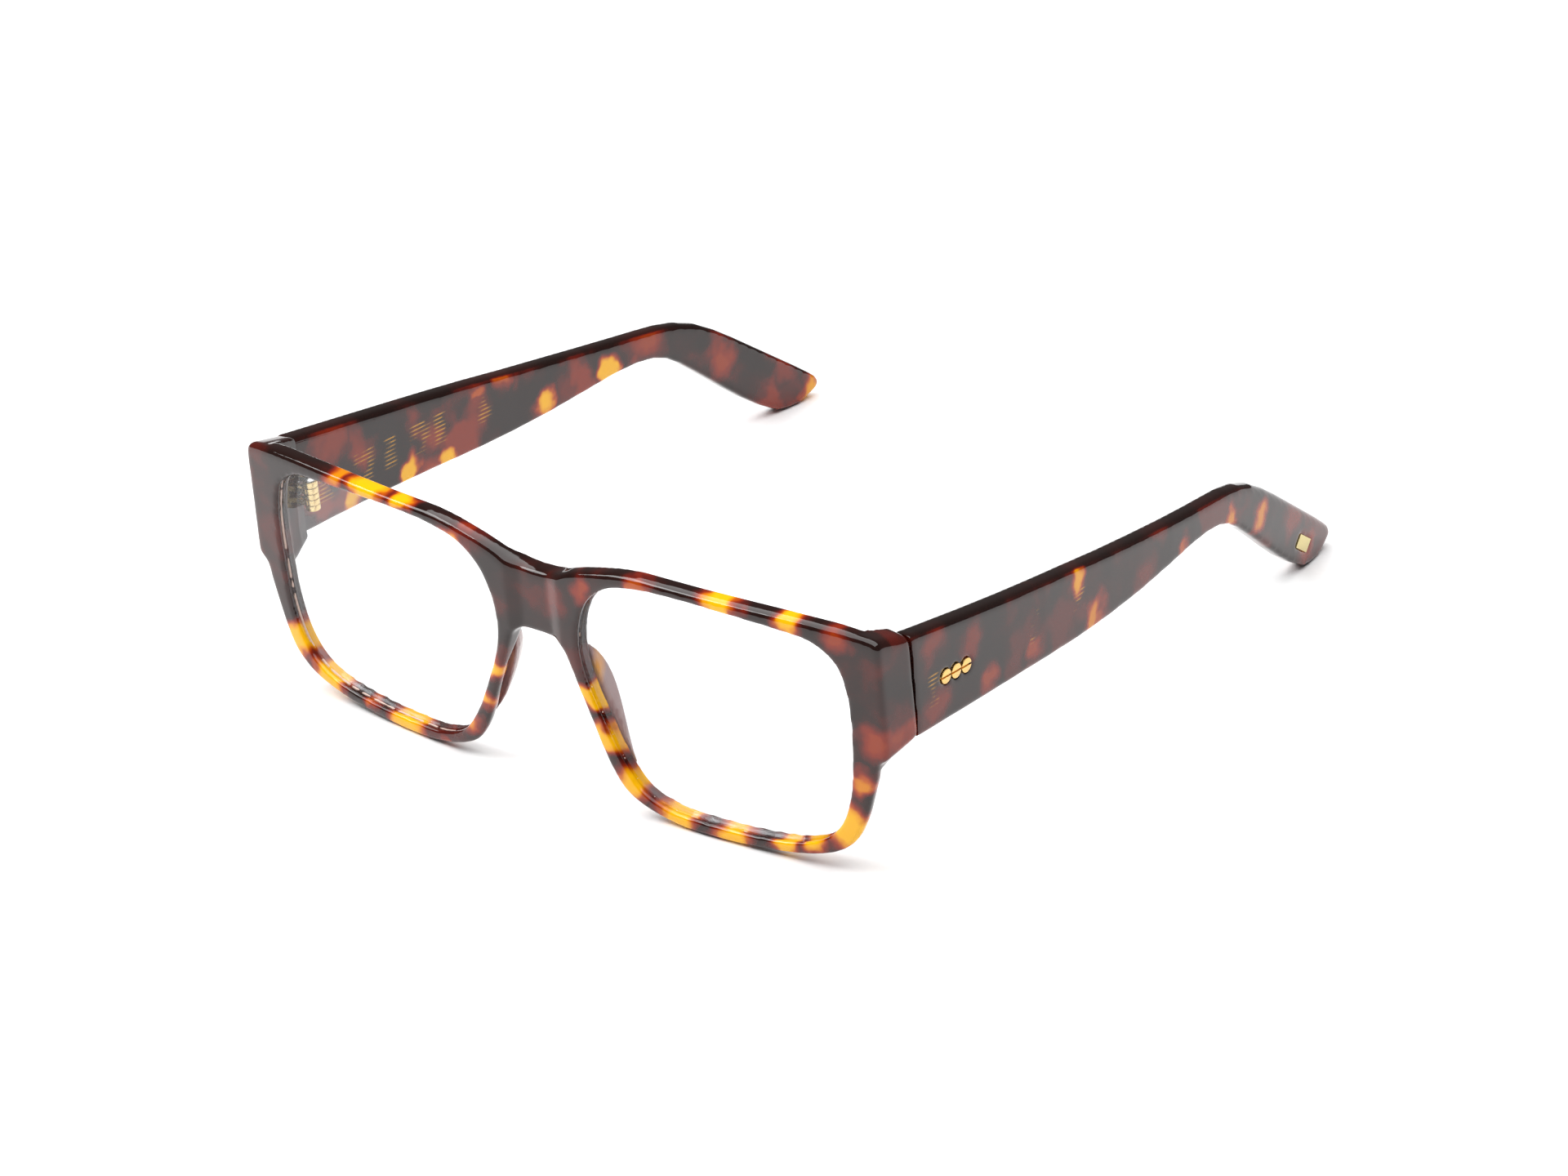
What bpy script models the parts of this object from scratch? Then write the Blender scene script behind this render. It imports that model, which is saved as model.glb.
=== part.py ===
"""Eyeglasses frame in acetate, with core-wire temples and five-barrel hinges.

Metres, +Z up. It stands on z = 0 on the rims and the temple tips. The front
faces -Y and the wearer's left is +X. Pieces are drawn in millimetres in the
front's own frame (y = 0 is the front plane, z = 0 the lens centre line), and
one matrix leans that frame forward and lifts it onto the table.
"""

import math

import bmesh
import bpy
import numpy as np
from mathutils import Matrix, Vector

# Overall fit, in millimetres
LEAN_DEG = 3.33
LIFT = 23.165
WRAP = 0.00124          # the front follows y = WRAP * x * x
RIM_DEPTH = 3.4
TOP_ROUND = 1.1
EDGE_ROUND = 0.6
BACK_ROUND = (2.2, 2.5)  # inset and depth: the rims are rounded at the back
BACK_ROUND_TOP = (0.5, 0.5)
BRIDGE_HOLLOW = 0.8     # the bridge sits this far behind the rims
BRIDGE_BACK = 1.2       # and is this much thicker at the back
END_FLARE = 0.5         # the end pieces widen towards the joint
END_INNER_X = 63.1      # inner face of the end pieces
END_STEP = 0.5
JOINT_Y = 13.6          # where the front ends and the temple begins
JOINT_GAP = 0.16
END_FALL = 0.04         # the end piece's top falls towards the joint

# Lens seat: a V groove, and the lens edge that sits in it
LIP = 0.95
GROOVE_TOP = 2.7
GROOVE_DEEP = 0.85
LENS_GAP = 0.1

# Hinge
AXIS_X = 61.5
AXIS_Y = 13.9
BARREL_R = 1.3
BORE_R = 0.66
SCREW_R = 0.56
BARREL_LOW = 6.3
BARREL_STEP = 1.12
BARREL_TALL = 1.02
ARM_THICK = 0.95
LEAF_LOW = BARREL_LOW - 0.3
LEAF_HIGH = BARREL_LOW + 4 * BARREL_STEP + BARREL_TALL + 0.3

# Core wire, rivets and plaque
WIRE_START = 20.0
RIVET_R = 1.28
RIVET_DEEP = 0.9
RIVET_FIRST = (21.8, 7.8)
RIVET_PITCH = (2.73, -0.35)
PLAQUE_AT = (135.8, -25.6)
FIT = 0.1

# Half outlines (x, z), from the middle outwards and back under the rim
LENS_EDGE = (
    (61.3, 0.0), (61.5, 6.0), (61.1, 11.0), (59.5, 16.0), (55.4, 19.1),
    (48.6, 20.1), (38.9, 20.7), (29.2, 21.0), (21.4, 20.6), (15.7, 19.1),
    (11.5, 15.6), (9.3, 10.7), (8.7, 5.2), (9.7, 0.0), (12.6, -7.3),
    (15.8, -13.8), (19.4, -18.3), (24.5, -20.5), (32.1, -21.0),
    (41.8, -20.8), (49.6, -19.9), (55.0, -17.8), (58.4, -14.1), (60.5, -7.9),
)
FRONT_EDGE = (
    (0.0, 18.1), (2.9, 18.25), (5.3, 18.85), (7.8, 20.0), (10.7, 20.9),
    (14.1, 21.7), (17.5, 22.4), (21.4, 22.85), (25.3, 22.9), (31.1, 22.8),
    (43.7, 22.75), (53.5, 22.6), (60.3, 22.3), (64.8, 21.9), (66.6, 21.5),
    (67.4, 20.7), (67.6, 19.2), (67.6, 15.9), (67.7, 7.9), (67.8, 1.6),
    (67.7, 0.1), (66.9, -0.7), (66.1, -1.3), (65.6, -2.6), (65.3, -4.4),
    (64.7, -6.5), (63.7, -10.1), (62.7, -13.1), (61.1, -16.4),
    (59.1, -18.6), (56.7, -20.1), (53.3, -21.3), (49.0, -22.2),
    (43.8, -22.8), (37.9, -23.2), (32.1, -23.3), (26.7, -23.0),
    (21.9, -22.0), (19.1, -21.0), (16.5, -19.5), (14.4, -17.0),
    (12.3, -12.8), (10.6, -8.2), (8.8, -3.6), (7.7, -0.7), (6.7, 2.2),
    (5.5, 4.8), (3.9, 6.0), (1.9, 6.3), (0.0, 6.3),
)
# Temple seen from the side: (y, z) along its top edge and its bottom edge
TEMPLE_TOP = (
    (13.76, 19.3), (20.0, 17.85), (30.0, 15.55), (40.0, 13.3), (50.0, 11.1),
    (60.0, 8.9), (70.0, 6.6), (80.0, 4.45), (90.0, 2.35), (98.0, 0.75),
    (104.0, -0.4), (109.0, -1.4), (113.5, -2.7), (118.0, -4.7),
    (122.5, -7.7), (127.0, -11.2), (132.0, -15.3), (137.0, -19.4),
    (142.0, -23.5), (145.4, -26.4), (146.8, -27.7), (147.4, -28.9),
    (147.1, -30.0),
)
TEMPLE_BOTTOM = (
    (13.76, 0.4), (20.0, -0.15), (29.6, -1.1), (39.3, -2.05), (49.0, -3.15),
    (59.0, -4.3), (69.0, -5.1), (79.0, -5.5), (88.5, -5.5), (96.0, -5.4),
    (101.5, -5.75), (105.8, -6.6), (109.5, -8.2), (113.0, -10.8),
    (116.8, -14.2), (120.5, -17.6), (124.0, -20.9), (128.0, -24.5),
    (132.2, -27.9), (136.2, -30.6), (138.6, -31.2), (141.2, -31.4),
    (143.6, -31.2),
)
# Plan view of the temple's outer face: (y, x), and its thickness
TEMPLE_BOW = (
    (13.76, 68.3), (30.0, 68.35), (50.0, 68.0), (80.0, 66.5), (100.0, 65.0),
    (120.0, 63.0), (140.0, 60.5), (150.0, 59.0),
)
TEMPLE_THICK = (4.0, 3.5)


def clear_scene():
    for obj in list(bpy.data.objects):
        bpy.data.objects.remove(obj)
    for data in (bpy.data.meshes, bpy.data.materials):
        for item in list(data):
            data.remove(item)


def ramp(value, low, high):
    share = min(max((value - low) / (high - low), 0.0), 1.0)
    return share * share * (3 - 2 * share)


def spline(points, closed, per_span=8):
    """Centripetal Catmull-Rom through the points."""
    pts = [np.array(p, float) for p in points]
    if closed:
        pts = [pts[-1]] + pts + pts[:2]
    else:
        pts = [2 * pts[0] - pts[1]] + pts + [2 * pts[-1] - pts[-2]]
    out = []
    for p0, p1, p2, p3 in zip(pts, pts[1:], pts[2:], pts[3:]):
        t1 = np.linalg.norm(p1 - p0) ** 0.5
        t2 = t1 + np.linalg.norm(p2 - p1) ** 0.5
        t3 = t2 + np.linalg.norm(p3 - p2) ** 0.5
        for step in range(per_span):
            t = t1 + (t2 - t1) * step / per_span
            a1 = p0 * (t1 - t) / t1 + p1 * t / t1
            a2 = p1 * (t2 - t) / (t2 - t1) + p2 * (t - t1) / (t2 - t1)
            a3 = p2 * (t3 - t) / (t3 - t2) + p3 * (t - t2) / (t3 - t2)
            b1 = a1 * (t2 - t) / t2 + a2 * t / t2
            b2 = a2 * (t3 - t) / (t3 - t1) + a3 * (t - t1) / (t3 - t1)
            out.append(b1 * (t2 - t) / (t2 - t1) + b2 * (t - t1) / (t2 - t1))
    if not closed:
        out.append(pts[-2])
    return np.array(out)


def thinned(points, tolerance, longest):
    """Drops points that the straight line through their neighbours replaces."""
    kept = [0]
    last = 0
    for i in range(2, len(points) + 1):
        end = points[i % len(points)]
        start = points[last]
        along = end - start
        length = np.linalg.norm(along)
        between = points[last + 1:i] - start
        cross = between[:, 0] * along[1] - between[:, 1] * along[0]
        far = np.abs(cross).max() / max(length, 1e-9)
        if far > tolerance or length > longest:
            last = i - 1
            kept.append(last)
    return points[kept]


def grown(loop, distance):
    """The closed loop moved outwards (counter-clockwise in x, z) by distance."""
    edge = np.roll(loop, -1, 0) - loop
    edge /= np.linalg.norm(edge, axis=1)[:, None]
    normal = np.stack([edge[:, 1], -edge[:, 0]], 1)
    corner = normal + np.roll(normal, 1, 0)
    corner /= (corner * np.roll(normal, 1, 0)).sum(1)[:, None]
    distance = np.broadcast_to(distance, len(loop))
    return loop + corner * distance[:, None]


def outward(loop):
    edge = np.roll(loop, -1, 0) - np.roll(loop, 1, 0)
    edge /= np.linalg.norm(edge, axis=1)[:, None]
    return np.stack([edge[:, 1], -edge[:, 0]], 1)


def counter_clockwise(loop):
    nxt = np.roll(loop, -1, 0)
    area = (loop[:, 0] * nxt[:, 1] - nxt[:, 0] * loop[:, 1]).sum()
    return loop if area > 0 else loop[::-1]


LENS_LOOP = counter_clockwise(
    thinned(spline(LENS_EDGE, True), 0.035, 6.0)
)
HALF = spline(FRONT_EDGE, False)
FRONT_LOOP = counter_clockwise(
    thinned(np.concatenate([HALF, HALF[-2:0:-1] * [-1, 1]]), 0.03, 7.0)
)


def seated(side=1):
    """Matrix from the front's frame in millimetres to the scene in metres."""
    lean = Matrix.Rotation(math.radians(LEAN_DEG), 4, "X")
    lift = Matrix.Translation((0, 0, LIFT / 1000))
    return lift @ lean @ Matrix.Diagonal((0.001 * side, 0.001, 0.001, 1))


def axis_point(side):
    return seated(side) @ Vector((AXIS_X, AXIS_Y, BARREL_LOW))


def material(name, rgba, metal=0.0, rough=0.3, pass_through=0.0):
    made = bpy.data.materials.new(name)
    made.use_nodes = True
    made.diffuse_color = rgba
    shader = made.node_tree.nodes["Principled BSDF"]
    shader.inputs["Base Color"].default_value = rgba
    shader.inputs["Metallic"].default_value = metal
    shader.inputs["Roughness"].default_value = rough
    shader.inputs["Transmission Weight"].default_value = pass_through
    return made


def add(name, bm, side, collection, looks, pivot=None):
    """Makes the object, with its origin on the pivot when it moves."""
    bmesh.ops.transform(bm, matrix=seated(side), verts=bm.verts)
    bmesh.ops.recalc_face_normals(bm, faces=bm.faces)
    origin = pivot if pivot is not None else Vector()
    bmesh.ops.translate(bm, vec=-origin, verts=bm.verts)
    mesh = bpy.data.meshes.new(name)
    bm.to_mesh(mesh)
    bm.free()
    obj = bpy.data.objects.new(name, mesh)
    obj.location = origin
    mesh.materials.append(looks)
    collection.objects.link(obj)
    return obj


def cut(obj, bm, side, name):
    """Cuts the closed shape in bm out of obj."""
    cutter = add(name, bm, side, CUTTERS, SHADES["cutter"], obj.location.copy())
    cutter.hide_render = True
    cutter.display_type = "WIRE"
    step = obj.modifiers.new(name, "BOOLEAN")
    step.operation = "DIFFERENCE"
    step.solver = "EXACT"
    step.object = cutter


def skin(bm, rings, closed_ends=True):
    """Quads between rings of equal length, and caps on the two ends."""
    rows = [[bm.verts.new(p) for p in ring] for ring in rings]
    for first, second in zip(rows, rows[1:]):
        for i, low in enumerate(first):
            j = (i + 1) % len(first)
            bm.faces.new((low, first[j], second[j], second[i]))
    if closed_ends:
        bm.faces.new(rows[0][::-1])
        bm.faces.new(rows[-1])
    return rows


def box(bm, low, high):
    x0, y0, z0 = low
    x1, y1, z1 = high
    base = ((x0, y0), (x1, y0), (x1, y1), (x0, y1))
    skin(bm, [[(x, y, z) for x, y in base] for z in (z0, z1)])


def rod(bm, centre, radius, z0, z1, sides=24):
    ring = [
        (centre[0] + radius * math.cos(2 * math.pi * i / sides),
         centre[1] + radius * math.sin(2 * math.pi * i / sides))
        for i in range(sides)
    ]
    skin(bm, [[(x, y, z) for x, y in ring] for z in (z0, z1)])


def form_front(point):
    """Bends the flat front to its wrap, bridge and end pieces."""
    x, y, z = point
    side = abs(x)
    share = y / RIM_DEPTH
    wrap = WRAP * x * x
    made = y + wrap
    made += BRIDGE_HOLLOW * (1 - share) * (1 - ramp(side, 3.0, 5.6))
    made += BRIDGE_BACK * share * (1 - ramp(side, 4, 7.8)) * ramp(z, 2, 6)
    block = ramp(side, END_INNER_X - END_STEP, END_INNER_X) * ramp(z, -3.2, -0.9)
    rear = ramp(y, RIM_DEPTH / 2, RIM_DEPTH - BACK_ROUND_TOP[1])
    made += block * rear * (JOINT_Y - RIM_DEPTH - wrap)
    back = max(made - 5.8, 0.0)
    z -= END_FALL * back * back * ramp(z, 14, 21.5) * ramp(side, 58.5, END_INNER_X - END_STEP)
    z += 1.0 * ramp(made, 10, JOINT_Y) * block * (1 - ramp(z, -0.5, 5))
    x += math.copysign(END_FLARE * ramp(made, 4, JOINT_Y) * block, x)
    return x, made, z


def front_bmesh():
    bm = bmesh.new()
    up = np.clip(outward(FRONT_LOOP)[:, 1], 0, 1)
    top_share = np.array([ramp(v, 0.3, 0.9) for v in up])
    end_share = np.array([ramp(z, -3.0, 0.0) for z in FRONT_LOOP[:, 1]])
    front_r = EDGE_ROUND + (TOP_ROUND - EDGE_ROUND) * top_share
    top_share = np.maximum(top_share, end_share)
    back_in, back_deep = (
        low + (high - low) * top_share
        for low, high in zip(BACK_ROUND, BACK_ROUND_TOP)
    )
    rings = []
    for deg in (0, 30, 60, 90):
        a = math.radians(deg)
        loop = grown(FRONT_LOOP, -front_r * (1 - math.sin(a)))
        depth = front_r * (1 - math.cos(a))
        rings.append(np.insert(loop, 1, depth, 1))
    for deg in (0, 30, 60, 90):
        a = math.radians(deg)
        loop = grown(FRONT_LOOP, -back_in * (1 - math.cos(a)))
        depth = RIM_DEPTH - back_deep * (1 - math.sin(a))
        rings.append(np.insert(loop, 1, depth, 1))
    outer = skin(bm, rings, False)
    fronts = [outer[0]]
    backs = [outer[-1]]
    lip = (
        (0.3, 0.0), (0.0, 0.3), (0.0, LIP), (GROOVE_DEEP, (LIP + GROOVE_TOP) / 2),
        (0.0, GROOVE_TOP), (0.0, RIM_DEPTH - 0.3), (0.3, RIM_DEPTH),
    )
    for side in (1, -1):
        rings = [
            np.insert(grown(LENS_LOOP, out) * [side, 1], 1, depth, 1)
            for out, depth in lip
        ]
        rows = skin(bm, rings, False)
        fronts.append(rows[0])
        backs.append(rows[-1])
    for loops in (fronts, backs):
        edges = [
            bm.edges.get((loop[i - 1], loop[i]))
            for loop in loops for i in range(len(loop))
        ]
        bmesh.ops.triangle_fill(bm, use_beauty=True, edges=edges)
    cuts = [1.6, 3.0, 4.3, 5.6, 7.2, 9, 12, 16, 21, 27, 34, 41, 48, 54, 58]
    cuts += [END_INNER_X - END_STEP, END_INNER_X, 65.6]
    for x in cuts:
        for sign in (1, -1):
            slice_at(bm, (sign * x, 0, 0), (1, 0, 0), 0)
    for z in (-3.2, -2.0, -0.9, 2.0, 5.0, 14.0, 16.5, 19.0, 20.5):
        slice_at(bm, (0, 0, z), (0, 0, 1), 58)
    for v in bm.verts:
        v.co = form_front(v.co)
    return bm


def slice_at(bm, point, normal, beyond):
    """Adds an edge loop where the plane meets the faces past |x| = beyond."""
    faces = [f for f in bm.faces if abs(f.calc_center_median().x) > beyond]
    geom = {g for f in faces for g in (f, *f.edges, *f.verts)}
    bmesh.ops.bisect_plane(
        bm, geom=list(geom), plane_co=point, plane_no=normal, dist=1e-4
    )


def lens_bmesh():
    bm = bmesh.new()
    deep = GROOVE_DEEP - LENS_GAP - 0.03
    middle = (LIP + GROOVE_TOP) / 2
    bevel = (
        (-0.55, LIP), (-LENS_GAP, LIP + 0.04), (deep, middle),
        (-LENS_GAP, GROOVE_TOP - 0.04), (-0.55, GROOVE_TOP),
    )
    rings = [np.insert(grown(LENS_LOOP, o), 1, d, 1) for o, d in bevel]
    skin(bm, rings)
    for x in range(13, 61, 5):
        slice_at(bm, (x, 0, 0), (1, 0, 0), 0)
    for v in bm.verts:
        v.co.y += WRAP * v.co.x ** 2
    return bm


def pad_bmesh():
    """A fin on the back of the rim beside the nose."""
    bm = bmesh.new()
    rings = []
    for i in range(13):
        share = i / 12
        z = 5.0 - 20.5 * share
        x = 8.3 + 0.17 * (3.0 - z) + 0.0125 * (3.0 - z) ** 2
        deep = 0.45 + 3.3 * max(math.sin(math.pi * share ** 0.75), 0.0) ** 1.1
        half = 0.45 + 0.75 * min(1.0, 4 * share, 3.5 * (1 - share) + 0.2)
        base = RIM_DEPTH + FIT + WRAP * x * x
        ring = []
        for out, back in (
            (-1.0, 0.0), (-0.95, 0.35), (-0.62, 0.7), (-0.35, 0.9),
            (0.0, 1.0), (0.35, 0.92), (0.6, 0.74), (0.85, 0.38), (1.0, 0.0),
        ):
            n = out * half * (1 - 0.25 * back) + 0.08 * deep * back ** 1.5
            ring.append((x + 0.93 * n, base + deep * back, z + 0.36 * n))
        rings.append(ring)
    skin(bm, rings)
    return bm


def temple_outer(y):
    """x of the temple's outer face and its thickness, at y."""
    table = np.array(spline(TEMPLE_BOW, False))
    share = (y - TEMPLE_BOW[0][0]) / (TEMPLE_BOW[-1][0] - TEMPLE_BOW[0][0])
    thick = TEMPLE_THICK[0] + (TEMPLE_THICK[1] - TEMPLE_THICK[0]) * share
    return float(np.interp(y, table[:, 0], table[:, 1])), thick


def temple_section(top, bottom, inset):
    """Rounded rectangle between a top point and a bottom point."""
    top, bottom = np.array(top), np.array(bottom)
    tall = np.linalg.norm(top - bottom)
    up = (top - bottom) / tall
    low, high = inset, tall - inset
    r_top, r_low = 1.15, 0.7
    corners = (
        (1, low, r_low, -90), (1, high, r_top, 0),
        (0, high, r_top, 90), (0, low, r_low, 180),
    )
    ring = []
    for outer, level, r, start in corners:
        r = max(r - inset, 0.25)
        for step in (0, 30, 60, 90):
            a = math.radians(start + step)
            rise = level + (-r if level == high else r) + r * math.sin(a)
            y, z = bottom + up * rise
            x, thick = temple_outer(y)
            wall = x - inset - r if outer else x - thick + inset + r
            ring.append((wall + r * math.cos(a), y, z))
    return ring


def temple_bmesh():
    bm = bmesh.new()
    rings = [
        temple_section(TEMPLE_TOP[0], TEMPLE_BOTTOM[0], 0.25),
        temple_section(
            np.add(TEMPLE_TOP[0], (0.25, -0.05)),
            np.add(TEMPLE_BOTTOM[0], (0.25, 0)), 0.0,
        ),
    ]
    rings += [
        temple_section(a, b, 0.0)
        for a, b in zip(TEMPLE_TOP[1:-1], TEMPLE_BOTTOM[1:-1])
    ]
    rings.append(temple_section(TEMPLE_TOP[-1], TEMPLE_BOTTOM[-1], 0.5))
    skin(bm, rings)
    return bm


def wire_stations():
    """(y, z, half height, half thickness) along the core wire."""
    top = spline(TEMPLE_TOP, False)
    low = spline(TEMPLE_BOTTOM, False)
    top = np.array([top[round(i)] for i in np.linspace(0, len(top) - 1, 61)])
    low = np.array([low[round(i)] for i in np.linspace(0, len(low) - 1, 61)])
    middle = low + (top - low) * 0.5
    stations = []
    for y in (WIRE_START, 30, 42, 54, 64, 72, 74, 76, 78, 84, 92, 99, 104,
              108, 112, 116, 121, 126):
        z = float(np.interp(y, middle[:, 0], middle[:, 1]))
        if y <= 72:
            half = 1.9
        elif y <= 76:
            half = 1.9 - 0.3 * (y - 72)
        else:
            half = 0.7
        stations.append((y, z, half, 0.6))
    return stations


def wire_bmesh(more=0.0):
    bm = bmesh.new()
    stations = wire_stations()
    y, z, half, thick = stations[0]
    stations[0] = (y - 6 * more, z, half, thick)
    y, z, half, thick = stations[-1]
    stations[-1] = (y + more, z - 0.7 * more, half, thick)
    rings = []
    for y, z, half, thick in stations:
        x, wall = temple_outer(y)
        x -= wall / 2
        half += more
        thick += more
        rings.append([
            (x - thick, y, z - half), (x + thick, y, z - half),
            (x + thick, y, z + half), (x - thick, y, z + half),
        ])
    skin(bm, rings)
    return bm


def barrel_levels(which):
    return [BARREL_LOW + BARREL_STEP * i for i in which]


def leaf_sizes(fixed):
    """Foot (x0, y0, x1, y1), the arms' y range and the barrels' levels."""
    if fixed:
        foot = (64.3, 8.6, 65.4, JOINT_Y - 0.1)
        arm = (JOINT_Y - 0.15 - ARM_THICK, JOINT_Y - 0.15)
        which = (1, 3)
    else:
        foot = (64.9, JOINT_Y + 0.5, 66.0, 19.2)
        arm = (JOINT_Y + 0.55, JOINT_Y + 0.55 + ARM_THICK)
        which = (0, 2, 4)
    return foot, arm, [BARREL_LOW + BARREL_STEP * i for i in which]


def hinge_leaf(name, fixed, side, collection, pivot):
    """Foot in the acetate, then an arm and a barrel at each level."""
    foot, arm, levels = leaf_sizes(fixed)
    bm = bmesh.new()
    box(bm, (foot[0], foot[1], LEAF_LOW), (foot[2], foot[3], LEAF_HIGH))
    obj = add(name, bm, side, collection, SHADES["hinge"], pivot)
    for count, level in enumerate(levels):
        top = level + BARREL_TALL
        bm = bmesh.new()
        box(bm, (AXIS_X, arm[0], level + 0.05), (foot[0] + 0.4, arm[1], top - 0.05))
        join(obj, bm, side, f"{name}_arm_{count}")
        bm = bmesh.new()
        rod(bm, (AXIS_X, AXIS_Y), BARREL_R, level, top)
        join(obj, bm, side, f"{name}_barrel_{count}")
    bm = bmesh.new()
    rod(bm, (AXIS_X, AXIS_Y), BORE_R, LEAF_LOW - 2, LEAF_HIGH + 2, 16)
    cut(obj, bm, side, f"{name}_bore")


def join(obj, bm, side, name):
    """Adds the closed shape in bm to obj."""
    cut(obj, bm, side, name)
    obj.modifiers[name].operation = "UNION"


def leaf_pocket(obj, fixed, side, name):
    """Room in the acetate for a leaf, with a little clearance."""
    (x0, y0, x1, y1), arm, levels = leaf_sizes(fixed)
    low, high = LEAF_LOW - FIT, LEAF_HIGH + FIT
    front, back = (y0 - FIT, JOINT_Y + 1) if fixed else (JOINT_Y - 1, y1 + FIT)
    bm = bmesh.new()
    box(bm, (x0 - FIT, front, low), (x1 + FIT, back, high))
    cut(obj, bm, side, f"{name}_foot")
    front, back = (arm[0] - FIT, back + 0.1) if fixed else (front - 0.1, arm[1] + FIT)
    for count, level in enumerate(levels):
        bm = bmesh.new()
        box(bm, (60.0, front, level - FIT), (x0 + 0.3, back, level + BARREL_TALL + FIT))
        cut(obj, bm, side, f"{name}_arm_{count}")


def screw_bmesh():
    bm = bmesh.new()
    low = BARREL_LOW - 0.25
    high = BARREL_LOW + 4 * BARREL_STEP + BARREL_TALL
    rings = []
    for r, z in ((0.36, low), (SCREW_R, low + 0.2), (SCREW_R, high + 0.08),
                 (1.0, high + 0.08), (1.0, high + 0.35), (0.75, high + 0.55)):
        rings.append([
            (AXIS_X + r * math.cos(math.pi * i / 8),
             AXIS_Y + r * math.sin(math.pi * i / 8), z) for i in range(16)
        ])
    skin(bm, rings)
    return bm


def disc_frame(y, z, tilt_deg):
    """Matrix to a spot on the temple's outer face: local z is its normal."""
    x, _ = temple_outer(y)
    ahead, _ = temple_outer(y + 2)
    along = Vector((ahead - x, 2, 0)).normalized()
    normal = along.cross(Vector((0, 0, 1))).normalized()
    tilt = Matrix.Rotation(math.radians(tilt_deg), 3, normal)
    axes = Matrix((tilt @ along, tilt @ normal.cross(along), normal)).transposed()
    return Matrix.Translation((x, y, z)) @ axes.to_4x4()


def rivet_bmesh(spot, more=0.0, slot=True):
    bm = bmesh.new()
    y = RIVET_FIRST[0] + RIVET_PITCH[0] * spot
    z = RIVET_FIRST[1] + RIVET_PITCH[1] * spot
    top = 0.06 if slot else 1.0
    r = RIVET_R + more
    count = 24
    rings = [
        [(r * k * math.cos(2 * math.pi * i / count),
          r * k * math.sin(2 * math.pi * i / count), h) for i in range(count)]
        for k, h in ((1.0, -RIVET_DEEP - more), (1.0, top - 0.03), (0.95, top))
    ]
    skin(bm, rings)
    bmesh.ops.transform(bm, matrix=disc_frame(y, z, -6), verts=bm.verts)
    return bm


def slot_bmesh(spot):
    bm = bmesh.new()
    y = RIVET_FIRST[0] + RIVET_PITCH[0] * spot
    z = RIVET_FIRST[1] + RIVET_PITCH[1] * spot
    box(bm, (-3, -0.16, -0.3), (3, 0.16, 1))
    bmesh.ops.transform(bm, matrix=disc_frame(y, z, -6), verts=bm.verts)
    return bm


def plaque_bmesh(more=0.0, top=0.05):
    bm = bmesh.new()
    shape = ((-2.6, -1.3), (2.3, -1.3), (2.9, 1.3), (-2.0, 1.3))
    rings = [
        [(a + math.copysign(more, a), b + math.copysign(more, b), h)
         for a, b in shape]
        for h in (-0.5 - more, top)
    ]
    skin(bm, rings)
    frame = disc_frame(PLAQUE_AT[0], PLAQUE_AT[1], -38)
    bmesh.ops.transform(bm, matrix=frame, verts=bm.verts)
    return bm


def build_front(parts):
    front = add("front_frame", front_bmesh(), 1, parts, SHADES["acetate"])
    for word, side in (("left", 1), ("right", -1)):
        lens = SHADES["lens"]
        add(f"lens_{word}", lens_bmesh(), side, parts, lens)
        add(f"nose_pad_{word}", pad_bmesh(), side, parts, SHADES["pad"])
        leaf_pocket(front, True, side, f"front_pocket_{word}")
        hinge_leaf(f"front_hinge_{word}", True, side, parts, None)


def build_temple(word, side, parts):
    pivot = axis_point(side)
    name = f"temple_{word}"
    temple = add(name, temple_bmesh(), side, parts, SHADES["acetate"], pivot)
    leaf_pocket(temple, False, side, f"{name}_pocket")
    cut(temple, wire_bmesh(0.12), side, f"{name}_channel")
    add(f"core_wire_{word}", wire_bmesh(), side, parts, SHADES["wire"], pivot)
    hinge_leaf(f"temple_hinge_{word}", False, side, parts, pivot)
    add(f"hinge_screw_{word}", screw_bmesh(), side, parts, SHADES["screw"], pivot)
    for spot in range(3):
        cut(temple, rivet_bmesh(spot, 0.05, False), side, f"{name}_hole_{spot}")
        rivet = add(
            f"temple_rivet_{word}_{spot + 1}", rivet_bmesh(spot), side, parts,
            SHADES["rivet"], pivot,
        )
        cut(rivet, slot_bmesh(spot), side, f"{name}_slot_{spot}")
    cut(temple, plaque_bmesh(0.05, 1.0), side, f"{name}_seat")
    add(f"tip_plaque_{word}", plaque_bmesh(), side, parts, SHADES["plaque"], pivot)


clear_scene()
PARTS = bpy.data.collections.new("eyeglasses_frame")
CUTTERS = bpy.data.collections.new("cutters")
CUTTERS.hide_render = True
for group in (PARTS, CUTTERS):
    bpy.context.scene.collection.children.link(group)
SHADES = {
    "acetate": material("tortoise acetate", (0.05, 0.02, 0.012, 1), rough=0.1),
    "pad": material("nose pad acetate", (0.10, 0.04, 0.02, 1), rough=0.1),
    "lens": material("clear lens", (0.9, 0.9, 0.9, 1), 0, 0.02, 1.0),
    "hinge": material("pale gold hinge", (0.89, 0.73, 0.42, 1), 1.0, 0.25),
    "wire": material("gilt core wire", (0.75, 0.52, 0.2, 1), 1.0, 0.3),
    "screw": material("steel screw", (0.7, 0.66, 0.55, 1), 1.0, 0.25),
    "rivet": material("gold rivet", (0.95, 0.72, 0.36, 1), 1.0, 0.2),
    "plaque": material("gold plaque", (0.77, 0.68, 0.38, 1), 1.0, 0.3),
    "cutter": material("cutter", (1, 0, 0, 1)),
}
build_front(PARTS)
for piece, hand in (("left", 1), ("right", -1)):
    build_temple(piece, hand, PARTS)
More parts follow.
